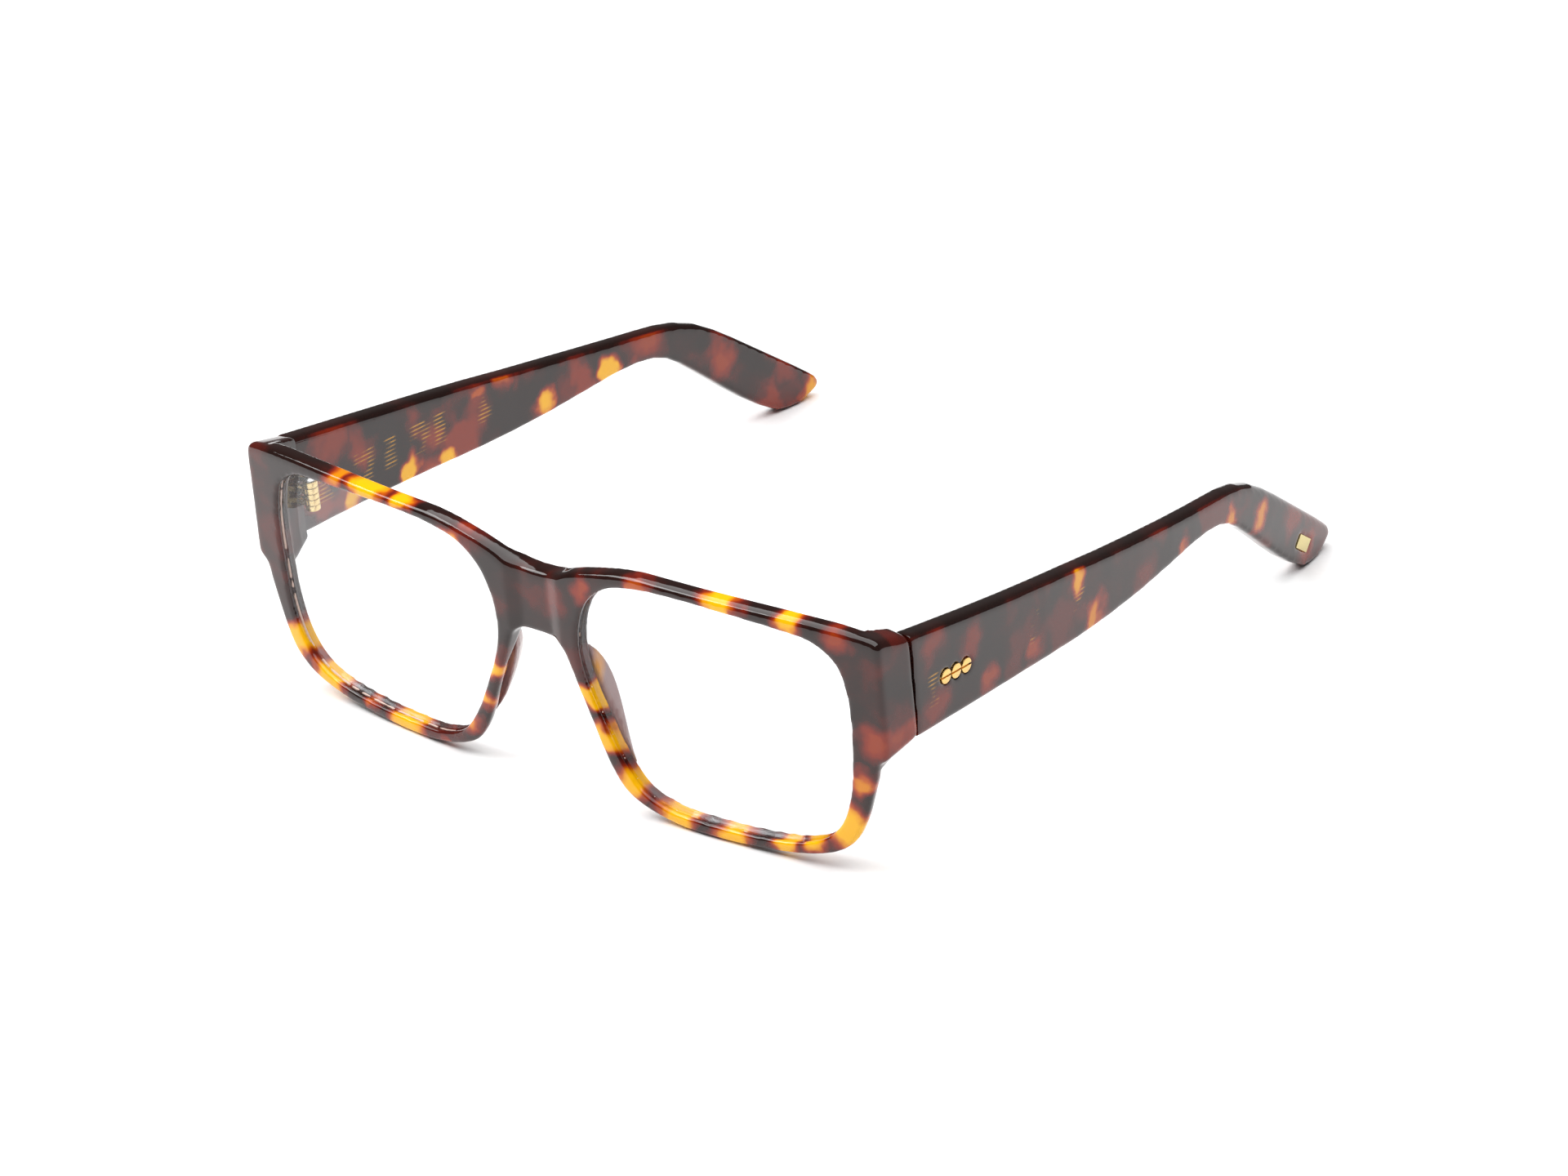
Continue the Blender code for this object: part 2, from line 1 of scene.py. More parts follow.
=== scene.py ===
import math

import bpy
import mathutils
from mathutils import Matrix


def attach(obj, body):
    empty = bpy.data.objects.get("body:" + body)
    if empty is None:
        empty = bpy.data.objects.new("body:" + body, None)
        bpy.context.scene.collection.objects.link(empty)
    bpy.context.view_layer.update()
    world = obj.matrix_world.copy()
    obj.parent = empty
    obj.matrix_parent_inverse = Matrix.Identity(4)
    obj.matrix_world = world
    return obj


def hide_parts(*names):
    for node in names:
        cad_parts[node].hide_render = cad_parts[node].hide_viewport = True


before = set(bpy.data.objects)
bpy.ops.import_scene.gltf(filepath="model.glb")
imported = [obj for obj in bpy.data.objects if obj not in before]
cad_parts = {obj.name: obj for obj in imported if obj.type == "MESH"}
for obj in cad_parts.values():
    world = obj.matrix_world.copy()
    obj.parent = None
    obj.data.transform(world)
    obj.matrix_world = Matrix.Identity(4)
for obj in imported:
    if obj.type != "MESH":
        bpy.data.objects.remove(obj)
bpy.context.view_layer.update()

# %% [markdown]
# These glasses are a thick acetate frame: one front with two lenses in it, and
# two wide temples that fold on barrel hinges. The measured parts are loaded
# first, so every finish and every new piece sits exactly where it belongs.

MM = 0.001


def deselect():
    """A new operator acts on all that is selected, so nothing is."""
    if bpy.context.object and bpy.context.object.mode != "OBJECT":
        bpy.ops.object.mode_set(mode="OBJECT")
    bpy.ops.object.select_all(action="DESELECT")


def pick(obj):
    deselect()
    obj.select_set(True)
    bpy.context.view_layer.objects.active = obj


# %% [markdown]
# Real colours are picked as sRGB hex values, as on a paint chart, but Blender
# mixes light in linear numbers. One function turns the first into the second,
# and one more adds a node with its settings and links, so that a material
# reads like a recipe.

# %% Colours and nodes
def srgb(code, alpha=1.0):
    parts = [int(code[i:i + 2], 16) / 255 for i in (1, 3, 5)]
    linear = [c / 12.92 if c <= 0.04045 else ((c + 0.055) / 1.055) ** 2.4 for c in parts]
    return (*linear, alpha)


def node(tree, kind, settings=None, **inputs):
    """Adds a node. Settings are its own fields, inputs are values or sockets.
    An input is named as Blender names it, or i0, i1 and so on by its place."""
    made = tree.nodes.new(kind)
    for field, value in (settings or {}).items():
        setattr(made, field, value)
    for key, value in inputs.items():
        index = int(key[1:]) if key[0] == "i" and key[1:].isdigit() else key.replace("_", " ")
        socket = made.inputs[index]
        if isinstance(value, bpy.types.NodeSocket):
            tree.links.new(value, socket)
        else:
            socket.default_value = value
    return made


def material(name):
    made = bpy.data.materials.new(name)
    made.use_nodes = True
    made.node_tree.nodes.clear()
    return made, made.node_tree


def finish_with(tree, shader):
    node(tree, "ShaderNodeOutputMaterial", Surface=shader)


print("amber in linear numbers:", [round(c, 3) for c in srgb("#f2ac00")])

# %% [markdown]
# Tortoise acetate is cellulose acetate, pressed from chips of several colours
# and tumbled with wax until it shines like glass. The dark parts are nearly
# black, their borders glow deep red, and the hearts of the light patches are
# clear amber. Noise alone would put the patches anywhere, so a short list, set
# in whole millimetres, says where the big ones lie, and noise bends
# their borders. The chips run right through the sheet, so a patch needs only
# its place on the flat of the sheet. The strongest patch at each point wins.

# %% Where the amber lies
TORTOISE_STOPS = (
    (0.00, "#170a07"), (0.16, "#300e09"), (0.32, "#5a140b"), (0.47, "#842306"),
    (0.60, "#b04b02"), (0.74, "#dc8c00"), (0.90, "#f0b000"),
)
FRONT_PATCHES = (  # x, z, radius, strength
    (-45, 46, 3, 0.7), (-37, 47, 5, 1.0), (-29, 46, 3, 0.9), (-17, 41, 4, 0.9),
    (-11, 21, 3, 0.9), (-14, 13, 3, 0.8), (-17, 6, 3, 0.7), (-24, 2, 2, 0.5),
    (-33, 1, 5, 0.9), (-42, 3, 2, 0.6), (-53, 4, 4, 1.0), (-60, 8, 4, 1.0),
    (4, 37, 4, 0.35), (11, 41, 3, 0.5), (22, 44, 3, 0.6), (38, 45, 4, 1.0),
    (51, 45, 3, 0.9), (60, 44, 3, 0.5), (10, 20, 3, 1.0), (13, 13, 3, 0.9),
    (18, 6, 4, 0.9), (26, 2, 4, 1.0), (37, 1, 4, 1.0), (47, 2, 3, 0.9),
    (53, 4, 3, 0.9), (60, 9, 5, 1.0), (63, 18, 3, 0.7), (66, 26, 4, 0.5),
)
LEFT_PATCHES = (  # y, z, radius, strength
    (18, 39, 4, 0.4), (28, 36, 3, 0.4), (19, 28, 4, 0.4), (33, 26, 3, 0.5),
    (46, 27, 3, 0.5), (59, 33, 3, 0.8), (64, 24, 4, 0.7), (80, 25, 4, 0.35),
    (86, 31, 3, 0.4), (93, 25, 2, 0.6), (110, 23, 3, 0.7), (120, 18, 3, 0.7),
    (133, 12, 4, 0.4), (138, 4, 4, 0.5),
)
RIGHT_PATCHES = (  # y, z, radius, strength
    (22, 39, 6, 0.45), (27, 25, 3, 0.9), (42, 25, 3, 1.0), (47, 22, 5, 0.5),
    (52, 23, 3, 0.9), (60, 33, 2, 0.6), (67, 34, 3, 0.6), (77, 25, 3, 0.9),
    (83, 25, 4, 0.35), (94, 25, 3, 1.0), (104, 29, 6, 0.5), (124, 17, 4, 0.5),
    (140, 9, 4, 0.4), (146, 2, 4, 0.8),
)
print("patches:", len(FRONT_PATCHES), len(LEFT_PATCHES), len(RIGHT_PATCHES))

# %% [markdown]
# Inside each temple runs a gilt core wire, rolled with fine ribs so that it
# grips the acetate. The sheet is opaque here, so the ribs are drawn in its
# colour, as a sine wave across the height of the wire, falling slightly
# towards the ear.

# %% The ribs of the core wire
RIB_PITCH = 0.78  # mm from rib to rib, eight of them over the wire's height
RIB_MIDDLE = 31.9  # mm above the table at the front plane
RIB_FALL = 0.029  # mm down for each mm back
RIB_HALF = (2.6, 3.2)  # mm from the middle where the ribs fade and end
RIB_CLOUD = 330.0  # noise of about 3 mm breaks the lines up


def ribs_in_acetate(tree, place, colour, windows):
    """Where the sheet is lighter, the ribs shine through as gold. A window is
    its place along the temple and its half length, in millimetres."""
    apart = node(tree, "ShaderNodeSeparateXYZ", Vector=place)
    along, high = apart.outputs["Y"], apart.outputs["Z"]
    above = node(tree, "ShaderNodeMath", {"operation": "MULTIPLY_ADD"},
                 i0=along, i1=RIB_FALL, i2=-RIB_MIDDLE * MM)
    above = node(tree, "ShaderNodeMath", {"operation": "ADD"}, i0=high, i1=above.outputs[0])
    wave = node(tree, "ShaderNodeMath", {"operation": "MULTIPLY"}, i0=above.outputs[0],
                i1=2 * math.pi / (RIB_PITCH * MM))
    wave = node(tree, "ShaderNodeMath", {"operation": "SINE"}, i0=wave.outputs[0])
    line = node(tree, "ShaderNodeMapRange", {"interpolation_type": "SMOOTHSTEP"},
                Value=wave.outputs[0], From_Min=0.1, From_Max=0.9)
    off = node(tree, "ShaderNodeMath", {"operation": "ABSOLUTE"}, i0=above.outputs[0])
    amount = node(tree, "ShaderNodeMapRange", {"interpolation_type": "SMOOTHSTEP"},
                  Value=off.outputs[0], From_Min=RIB_HALF[0] * MM,
                  From_Max=RIB_HALF[1] * MM, To_Min=0.8, To_Max=0.0).outputs[0]
    patchy = node(tree, "ShaderNodeTexNoise", Vector=place, Scale=RIB_CLOUD, Detail=1.0)
    lit = node(tree, "ShaderNodeMapRange", {"interpolation_type": "SMOOTHSTEP"},
               Value=patchy.outputs["Fac"], From_Min=0.4, From_Max=0.62)
    seen = None
    for middle, half in windows:
        away = node(tree, "ShaderNodeMath", {"operation": "SUBTRACT"}, i0=along, i1=middle * MM)
        away = node(tree, "ShaderNodeMath", {"operation": "ABSOLUTE"}, i0=away.outputs[0])
        near = node(tree, "ShaderNodeMapRange", {"interpolation_type": "SMOOTHSTEP"},
                    Value=away.outputs[0], From_Min=half * 0.4 * MM, From_Max=half * MM,
                    To_Min=1.0, To_Max=0.0).outputs[0]
        seen = near if seen is None else node(
            tree, "ShaderNodeMath", {"operation": "MAXIMUM"}, i0=seen, i1=near).outputs[0]
    for part in (line.outputs[0], lit.outputs[0], seen):
        amount = node(tree, "ShaderNodeMath", {"operation": "MULTIPLY"},
                      i0=amount, i1=part).outputs[0]
    gilt = node(tree, "ShaderNodeMix", {"data_type": "RGBA"}, i0=amount)
    tree.links.new(colour, gilt.inputs[6])
    gilt.inputs[7].default_value = srgb("#c98f1c")
    return gilt.outputs[2]


print("ribs across the wire:", round(2 * RIB_HALF[1] / RIB_PITCH))

# %% [markdown]
# The material itself bends the place it reads with noise, measures how far
# that is from each patch, and sends the strongest through a colour ramp. The
# polish is that of plastic (IOR 1.49) fresh from the tumbling drum.

# %% Tortoise acetate, tumble polished
BORDER_NOISE = 170.0  # waves of about 6 mm
BORDER_DRIFT = 7.5  # mm for the whole range of the noise, so one or two in use
CLOUD_NOISE = 95.0  # clouds of about 10 mm


def tortoise(name, patches, sheet, cloudy, ribs=None, painted_top_shade=False):
    mat, tree = material(name)
    place = node(tree, "ShaderNodeTexCoord").outputs["Object"]
    still = place
    drift = node(tree, "ShaderNodeTexNoise", Vector=place, Scale=BORDER_NOISE, Detail=2.5)
    drift = node(tree, "ShaderNodeVectorMath", {"operation": "SUBTRACT"},
                 i0=drift.outputs["Color"], i1=(0.5, 0.5, 0.5))
    drift = node(tree, "ShaderNodeVectorMath", {"operation": "SCALE"},
                 i0=drift.outputs[0], Scale=BORDER_DRIFT * MM)
    place = node(tree, "ShaderNodeVectorMath", {"operation": "ADD"},
                 i0=place, i1=drift.outputs[0]).outputs[0]
    # Between the patches the dark sheet still clouds from black to deep red
    cloud = node(tree, "ShaderNodeTexNoise", Vector=place, Scale=CLOUD_NOISE, Detail=1.5)
    glow = node(tree, "ShaderNodeMapRange", {"interpolation_type": "SMOOTHSTEP"},
                Value=cloud.outputs["Fac"], From_Min=0.42, From_Max=0.68,
                To_Min=0.03, To_Max=cloudy).outputs[0]
    flat = node(tree, "ShaderNodeVectorMath", {"operation": "MULTIPLY"},
                i0=place, i1=sheet).outputs[0]
    for along, high, radius, strength in patches:
        away = node(tree, "ShaderNodeVectorMath", {"operation": "DISTANCE"}, i0=flat,
                    i1=(along * sheet[0] * MM, along * sheet[1] * MM, high * MM))
        patch = node(tree, "ShaderNodeMapRange", {"interpolation_type": "SMOOTHSTEP"},
                     Value=away.outputs["Value"], From_Min=radius * 0.25 * MM,
                     From_Max=radius * 1.6 * MM, To_Min=strength, To_Max=0.0)
        glow = node(tree, "ShaderNodeMath", {"operation": "MAXIMUM"},
                    i0=glow, i1=patch.outputs[0]).outputs[0]
    if painted_top_shade:
        # Painted shade: faces that look up get a darker colour, standing in for light that crosses
        # the sheet's whole height
        facing = node(tree, "ShaderNodeNewGeometry").outputs["Normal"]
        upward = node(tree, "ShaderNodeSeparateXYZ", Vector=facing).outputs["Z"]
        top_shade_factor = node(tree, "ShaderNodeMapRange", {"interpolation_type": "SMOOTHSTEP"},
                    Value=upward, From_Min=0.55, From_Max=0.9, To_Min=1.0, To_Max=0.25)
        glow = node(tree, "ShaderNodeMath", {"operation": "MULTIPLY"},
                    i0=glow, i1=top_shade_factor.outputs[0]).outputs[0]
    ramp = node(tree, "ShaderNodeValToRGB", Fac=glow)
    ramp.color_ramp.elements.remove(ramp.color_ramp.elements[1])
    for at, code in TORTOISE_STOPS:
        stop = ramp.color_ramp.elements[0] if at == 0 else ramp.color_ramp.elements.new(at)
        stop.color = srgb(code)
    colour = ramp.outputs["Color"]
    if ribs:
        colour = ribs_in_acetate(tree, still, colour, ribs)
    shader = node(tree, "ShaderNodeBsdfPrincipled", Base_Color=colour, Roughness=0.06,
                  IOR=1.49, Coat_Weight=0.05, Coat_Roughness=0.03)
    finish_with(tree, shader.outputs[0])
    print(name, "has", len(patches), "patches and", len(tree.nodes), "nodes")
    return mat


print("border waves:", round(1 / BORDER_NOISE / MM, 1), "mm")

# %% [markdown]
# The demo lenses are clear acrylic, about 2 mm thick, with faces so flat that
# nearly all light goes straight through. Full glass would bend the picture
# behind it and cost a lot of light rays, so the faces are mostly transparent
# with a mirror that grows towards grazing angles, as a Layer Weight node gives.
# The ground crest round the lens is a second finish: frosted and pale. Its
# grit is far too fine to show, so it is drawn as coarse as 0.4 mm.

# %% Clear and ground acrylic
GRIT_NOISE = 2500.0  # 0.4 mm


def clear_acrylic(name, tint):
    mat, tree = material(name)
    through = node(tree, "ShaderNodeBsdfTransparent", Color=srgb(tint))
    mirror = node(tree, "ShaderNodeBsdfGlossy", Color=srgb("#ffffff"), Roughness=0.02)
    edge_on = node(tree, "ShaderNodeLayerWeight", Blend=0.5)
    steep = node(tree, "ShaderNodeMath", {"operation": "POWER"},
                 i0=edge_on.outputs["Facing"], i1=4.0)
    grazing = node(tree, "ShaderNodeMath", {"operation": "MULTIPLY_ADD"},
                   i0=steep.outputs[0], i1=0.6, i2=0.02)
    mix = node(tree, "ShaderNodeMixShader", Fac=grazing.outputs[0],
               i1=through.outputs[0], i2=mirror.outputs[0])
    finish_with(tree, mix.outputs[0])
    return mat


def ground_edge(name):
    """The crest that sits in the groove: ground, so it scatters a peach grey."""
    mat, tree = material(name)
    place = node(tree, "ShaderNodeTexCoord").outputs["Object"]
    grit = node(tree, "ShaderNodeTexNoise", Vector=place, Scale=GRIT_NOISE, Detail=2.0)
    ramp = node(tree, "ShaderNodeValToRGB", Fac=grit.outputs["Fac"])
    ramp.color_ramp.elements[0].color = srgb("#c9a595")
    ramp.color_ramp.elements[1].color = srgb("#f0dccf")
    finish_with(tree, node(tree, "ShaderNodeBsdfPrincipled", Base_Color=ramp.outputs["Color"],
                           Roughness=0.45, IOR=1.49).outputs[0])
    return mat


ACRYLIC = clear_acrylic("demo_lens_acrylic", "#fbfcfd")
GROUND = ground_edge("demo_lens_ground_edge")
print("lens finishes:", ACRYLIC.name, GROUND.name)

# %% [markdown]
# The hinges are taken to be nickel silver, and the rivets, plaques and core
# wires brass. All of them are gilded, while the screws stay bright steel.
# A metal shows only its reflections, so its tint is the colour of those, and a
# fine grain varies how sharp they are. The nose pads are acetate again, thin
# enough to look dusty, so a little light goes through them.

# %% Gilt metal, steel and nose pads
PAD_NOISE = 110.0  # clouds of about 9 mm


def metal(name, tint, rough, grain_mm):
    """Turned or stamped metal: a grain of a few tenths varies its roughness."""
    mat, tree = material(name)
    place = node(tree, "ShaderNodeTexCoord").outputs["Object"]
    grain = node(tree, "ShaderNodeTexNoise", Vector=place, Scale=1 / (grain_mm * MM), Detail=3.0)
    shine = node(tree, "ShaderNodeMapRange", Value=grain.outputs["Fac"],
                 To_Min=rough * 0.7, To_Max=rough * 1.4)
    shader = node(tree, "ShaderNodeBsdfPrincipled", Base_Color=srgb(tint), Metallic=1.0,
                  Roughness=shine.outputs[0])
    finish_with(tree, shader.outputs[0])
    return mat


def clouded_acetate(name):
    """Nose pads: the same acetate, so thin that it looks dusty pink with amber."""
    mat, tree = material(name)
    place = node(tree, "ShaderNodeTexCoord").outputs["Object"]
    cloud = node(tree, "ShaderNodeTexNoise", Vector=place, Scale=PAD_NOISE, Detail=1.5)
    ramp = node(tree, "ShaderNodeValToRGB", Fac=cloud.outputs["Fac"])
    for stop, (at, code) in zip(ramp.color_ramp.elements, ((0.5, "#96706c"), (0.68, "#e89a20"))):
        stop.position, stop.color = at, srgb(code)
    shader = node(tree, "ShaderNodeBsdfPrincipled", Base_Color=ramp.outputs["Color"],
                  Roughness=0.12, IOR=1.49, Transmission_Weight=0.3, Coat_Weight=0.4,
                  Coat_Roughness=0.04)
    finish_with(tree, shader.outputs[0])
    return mat


PAD = clouded_acetate("nose_pad_acetate")
HINGE_GILT = metal("hinge_nickel_silver_gilt", "#ddc28c", 0.26, 0.4)
RIVET_GILT = metal("rivet_brass_gilt", "#e8c078", 0.25, 0.3)
PLAQUE_GILT = metal("plaque_brass_brushed", "#cfc08a", 0.35, 0.25)
SCREW_STEEL = metal("hinge_screw_steel", "#c8c6c2", 0.25, 0.2)
WIRE_GILT = metal("core_wire_gilt", "#d9a94e", 0.3, 0.3)
print("materials so far:", len(bpy.data.materials))

# %% [markdown]
# The front and the temples are cut from sheet and then tumbled for days,
# which rounds every edge a little. The measured parts have the right shape
# but flat facets. A copy of each is merged, rebuilt as an even skin of small
# squares by a Remesh modifier, and then relaxed by a Smooth modifier: that
# takes the facets and the hard edges off just as tumbling does. The hinge
# joint has to stay crisp, so its ends are left long first and sawn off flat
# after the tumbling, as a maker mitres the two pieces.

# %% Leaving the joint long, and sawing it
LEAN = math.radians(3.33)  # the glasses lean forward until rims and tips touch
SEAT = 23.165 * MM  # height of the lens centre line
SPARE = 0.7  # mm left on for the saw


def along_temple(point):
    """Distance behind the front plane, in the glasses' own leaning frame."""
    return point.y * math.cos(LEAN) + (point.z - SEAT) * math.sin(LEAN)


def push_and_saw(obj, joint, way, saw):
    """Before tumbling the joint end is left long; afterwards it is sawn flat."""
    ahead = mathutils.Vector((0.0, math.cos(LEAN), math.sin(LEAN)))
    pick(obj)
    bpy.ops.object.mode_set(mode="EDIT")
    bpy.ops.mesh.select_all(action="DESELECT")
    bpy.ops.object.mode_set(mode="OBJECT")
    for vert in obj.data.vertices:
        beyond = (along_temple(vert.co) - joint * MM) * way
        vert.select = saw or beyond > -0.02 * MM
    bpy.ops.object.mode_set(mode="EDIT")
    if saw:
        bpy.ops.mesh.bisect(
            plane_co=ahead * joint * MM + mathutils.Vector((0, 0, SEAT)), plane_no=ahead,
            use_fill=True, clear_inner=way < 0, clear_outer=way > 0)
    else:
        bpy.ops.transform.translate(value=ahead * way * SPARE * MM)
    bpy.ops.object.mode_set(mode="OBJECT")


print("joint ends are left", SPARE, "mm long")

# %% [markdown]
# The same steps serve the front, both temples and both nose pads. A smaller
# cell keeps more of a small piece's shape, so the pads get half the size.

# %% Tumbled acetate pieces
FRONT_JOINT = (13.6, 1)  # mm behind the front plane, and which way is off
TEMPLE_JOINT = (13.76, -1)


def tumbled(part, name, body, mat, cell=0.29, passes=16, joint=None):
    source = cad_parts[part]
    obj = bpy.data.objects.new(name, source.data.copy())
    bpy.context.collection.objects.link(obj)
    pick(obj)
    bpy.ops.object.mode_set(mode="EDIT")
    bpy.ops.mesh.select_all(action="SELECT")
    bpy.ops.mesh.remove_doubles(threshold=0.002 * MM)
    bpy.ops.object.mode_set(mode="OBJECT")
    if joint:
        push_and_saw(obj, *joint, saw=False)
    skin = obj.modifiers.new("even skin", "REMESH")
    skin.mode, skin.voxel_size = "VOXEL", cell * MM
    bpy.ops.object.modifier_apply(modifier=skin.name)
    relax = obj.modifiers.new("tumble", "SMOOTH")
    relax.factor, relax.iterations = 0.5, passes
    bpy.ops.object.modifier_apply(modifier=relax.name)
    if joint:
        push_and_saw(obj, *joint, saw=True)
        bpy.ops.object.shade_smooth_by_angle(angle=math.radians(50))
    else:
        bpy.ops.object.shade_smooth()
    obj.data.materials.clear()
    obj.data.materials.append(mat)
    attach(obj, body)
    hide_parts(part)
    print(name, "faces:", len(obj.data.polygons))
    return obj


ACROSS = (1, 0, 1)  # the front is cut from a sheet that lies across the face
ENDWAYS = (0, 1, 1)  # and each temple from one that runs from front to back
FRONT = tortoise("front_tortoise_acetate_polished", FRONT_PATCHES, ACROSS, 0.27)
# Both temples get painted shade on the faces that look up
LEFT = tortoise("left_temple_tortoise_acetate", LEFT_PATCHES, ENDWAYS, 0.3,
                ((19, 3), (46, 1.6), (60, 2.6)), painted_top_shade=True)
RIGHT = tortoise("right_temple_tortoise_acetate", RIGHT_PATCHES, ENDWAYS, 0.46,
                 ((19, 4), (30, 3.4), (37, 2), (45, 3.2), (50, 2), (61.5, 2.2)),
                 painted_top_shade=True)
tumbled("front_frame", "front_tumbled", "front", FRONT,
        joint=FRONT_JOINT)
tumbled("temple_left", "temple_left_tumbled", "left_temple", LEFT,
        joint=TEMPLE_JOINT)
tumbled("temple_right", "temple_right_tumbled", "right_temple", RIGHT,
        joint=TEMPLE_JOINT)
for side in ("left", "right"):
    tumbled("nose_pad_" + side, "nose_pad_%s_tumbled" % side, "front", PAD,
            cell=0.15, passes=12)

# %% [markdown]
# A lens is cut from a flat blank and its edge is ground to a V that snaps into
# the groove. The grinding wheel leaves the crest of the V flat and frosted, so
# a Bevel modifier flattens it, and those faces, found by their normals, get
# the ground finish. It is the thin pale line that runs round inside each rim.
# The slopes are left clear, as through them the eye sees the groove's wall.

# %% Lenses with a ground edge
CREST = 0.26  # mm taken off each side of the V's tip
CREST_NORMAL = 0.35  # the crest's faces look outwards, hardly to front or back
for side in ("left", "right"):
    part = "lens_" + side
    lens = bpy.data.objects.new("demo_" + part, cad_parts[part].data.copy())
    bpy.context.collection.objects.link(lens)
    pick(lens)
    bpy.ops.object.mode_set(mode="EDIT")
    bpy.ops.mesh.select_all(action="SELECT")
    bpy.ops.mesh.remove_doubles(threshold=0.002 * MM)
    bpy.ops.object.mode_set(mode="OBJECT")
    crest = lens.modifiers.new("flat crest", "BEVEL")
    crest.width, crest.segments = CREST * MM, 1
    crest.limit_method, crest.angle_limit = "ANGLE", math.radians(65)
    bpy.ops.object.modifier_apply(modifier=crest.name)
    lens.data.materials.clear()
    lens.data.materials.append(ACRYLIC)
    lens.data.materials.append(GROUND)
    for face in lens.data.polygons:
        face.material_index = 1 if abs(face.normal.y) < CREST_NORMAL else 0
    bpy.ops.object.shade_smooth_by_angle(angle=math.radians(20))
    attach(lens, "front")
    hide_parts(part)
    print(lens.name, "ground faces:", sum(f.material_index for f in lens.data.polygons))

# %% [markdown]
# The hinges, screws, rivets and plaques are turned or stamped. Even a turned
# screw has a broken edge that catches light, so each measured part is copied
# and merged, and a Bevel modifier rounds every edge sharper than 40 degrees by
# about a tenth of a millimetre or less.

# %% Hinges, screws, rivets, plaques and core wires
HARDWARE = (  # how its parts' names start, material, slot, broken edge in mm
    ("front_hinge_", HINGE_GILT, "gilt_hinge", 0.12),
    ("temple_hinge_", HINGE_GILT, "gilt_hinge", 0.12),
    ("hinge_screw_", SCREW_STEEL, "steel_screw", 0.05),
    ("temple_rivet_", RIVET_GILT, "gilt_rivet", 0.06),
    ("tip_plaque_", PLAQUE_GILT, "gilt_plaque", 0.08),
    ("core_wire_", WIRE_GILT, "gilt_wire", 0.08),
)


def broken_edges(part, mat, edge):
    obj = bpy.data.objects.new(part + "_gilded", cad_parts[part].data.copy())
    bpy.context.collection.objects.link(obj)
    pick(obj)
    bpy.ops.object.mode_set(mode="EDIT")
    bpy.ops.mesh.select_all(action="SELECT")
    bpy.ops.mesh.remove_doubles(threshold=0.002 * MM)
    bpy.ops.object.mode_set(mode="OBJECT")
    bevel = obj.modifiers.new("broken edge", "BEVEL")
    bevel.width, bevel.segments = edge * MM, 2
    bevel.limit_method, bevel.angle_limit = "ANGLE", math.radians(40)
    bpy.ops.object.modifier_apply(modifier=bevel.name)
    bpy.ops.object.shade_smooth_by_angle(angle=math.radians(35))
    obj.data.materials.clear()
    obj.data.materials.append(mat)
    body = "front"
    if not part.startswith("front_"):
        body = "left_temple" if "_left" in part else "right_temple"
    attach(obj, body)
    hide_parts(part)
    print(obj.name, "faces:", len(obj.data.polygons))


for start, mat, slot_name, edge in HARDWARE:
    for part in [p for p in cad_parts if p.startswith(start)]:
        broken_edges(part, mat, edge)

# %% [markdown]
# A packshot is lit with big soft boxes over a pale table. The front and the
# sides of the frame mirror the table, so they look brown-grey; the flat tops
# mirror the dark of the room, so they look black; and the rounded top edge
# mirrors a soft box high in front, which draws the long pale line on it. The
# table's paper has a faint fibre, drawn at about 1 mm so that it can be seen.

# %% The table
PAPER_NOISE = 900.0  # about 1 mm
deselect()
bpy.ops.mesh.primitive_plane_add(size=8.0, location=(0, 0, -0.0002))
table = bpy.context.object
table.name = "table"
PAPER, tree = material("white_paper_sweep")
fibre = node(tree, "ShaderNodeTexNoise", Vector=node(tree, "ShaderNodeTexCoord").outputs["Object"],
             Scale=PAPER_NOISE, Detail=2.0)
tone = node(tree, "ShaderNodeValToRGB", Fac=fibre.outputs["Fac"])
tone.color_ramp.elements[0].color = srgb("#f4f4f4")
tone.color_ramp.elements[1].color = srgb("#fafafa")
finish_with(tree, node(tree, "ShaderNodeBsdfPrincipled", Base_Color=tone.outputs["Color"],
                       Roughness=0.9, Specular_IOR_Level=0.1).outputs[0])
table.data.materials.append(PAPER)
print("table:", [round(side, 2) for side in table.dimensions])

# %% [markdown]
# Two area lights do the work. The room behind looks white to the camera but
# gives only a seventh of that as light, as the Light Path node tells the two
# apart, so the gloss stays deep and the ground stays white.

# %% The lights and the room

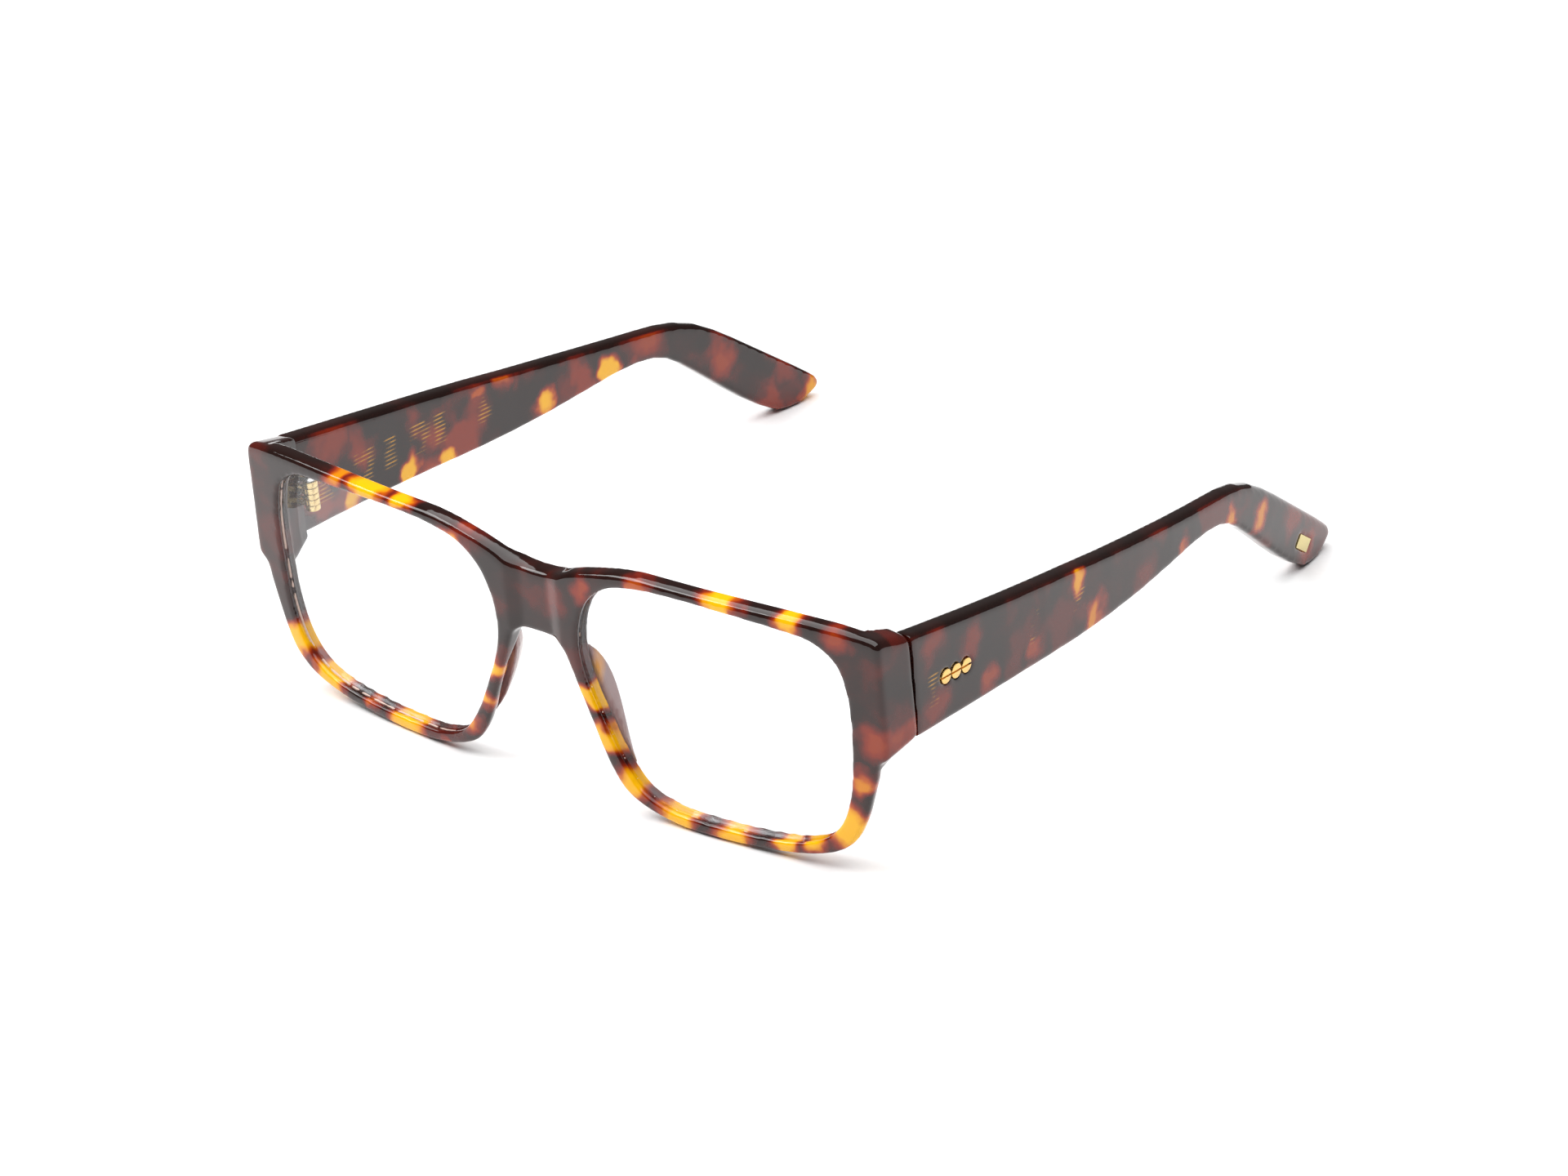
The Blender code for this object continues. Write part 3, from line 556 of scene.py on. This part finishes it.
def soft_box(name, at, aim, width, depth, watts):
    bpy.ops.object.light_add(type="AREA", location=at)
    box = bpy.context.object
    box.name = name
    box.data.shape, box.data.size, box.data.size_y = "RECTANGLE", width, depth
    box.data.energy = watts
    turn = (mathutils.Vector(aim) - mathutils.Vector(at)).to_track_quat("-Z", "Y")
    box.rotation_euler = turn.to_euler()
    return box


MIDDLE = (0.0, 0.06, 0.02)  # of the glasses, metres
soft_box("ceiling_box", (0.0, 0.0, 1.7), (0.0, 0.05, 0.0), 2.6, 2.6, 64)
soft_box("front_box", (-0.5, -0.32, 0.62), MIDDLE, 0.5, 0.34, 3.6)

world = bpy.data.worlds.new("room")
bpy.context.scene.world = world
world.use_nodes = True
tree = world.node_tree
tree.nodes.clear()
room = node(tree, "ShaderNodeBackground", Color=srgb("#ffffff"), Strength=0.14)
seen = node(tree, "ShaderNodeBackground", Color=srgb("#ffffff"), Strength=1.0)
path = node(tree, "ShaderNodeLightPath")
mix = node(tree, "ShaderNodeMixShader", Fac=path.outputs["Is Camera Ray"],
           i1=room.outputs[0], i2=seen.outputs[0])
node(tree, "ShaderNodeOutputWorld", Surface=mix.outputs[0])
bpy.context.scene.view_settings.view_transform = "Standard"

# %% [markdown]
# The camera stands well back with a long lens, as for a product shot, a
# quarter turn to the wearer's left and looking down, with a slight roll.

# %% Camera
AIM = mathutils.Vector((28.0, 30.8, 32.7)) * MM
DISTANCE = 0.9519  # metres
AZIMUTH, ELEVATION, ROLL = (math.radians(a) for a in (38.86, 27.06, -2.48))
back = mathutils.Vector((
    math.sin(AZIMUTH) * math.cos(ELEVATION), -math.cos(AZIMUTH) * math.cos(ELEVATION),
    math.sin(ELEVATION)))
right = mathutils.Vector((math.cos(AZIMUTH), math.sin(AZIMUTH), 0.0))
up = back.cross(right)
turn = mathutils.Matrix((right, up, back)).transposed() @ mathutils.Matrix.Rotation(ROLL, 3, "Z")
deselect()
bpy.ops.object.camera_add(location=AIM + back * DISTANCE, rotation=turn.to_euler())
camera = bpy.context.object
camera.data.lens, camera.data.sensor_width = 131.85, 36.0
camera.data.clip_start = 0.01
bpy.context.scene.camera = camera
print("camera at", [round(v, 3) for v in camera.location])

# %% [markdown]
# Last, the view layer is brought up to date.

# %% Update
bpy.context.view_layer.update()
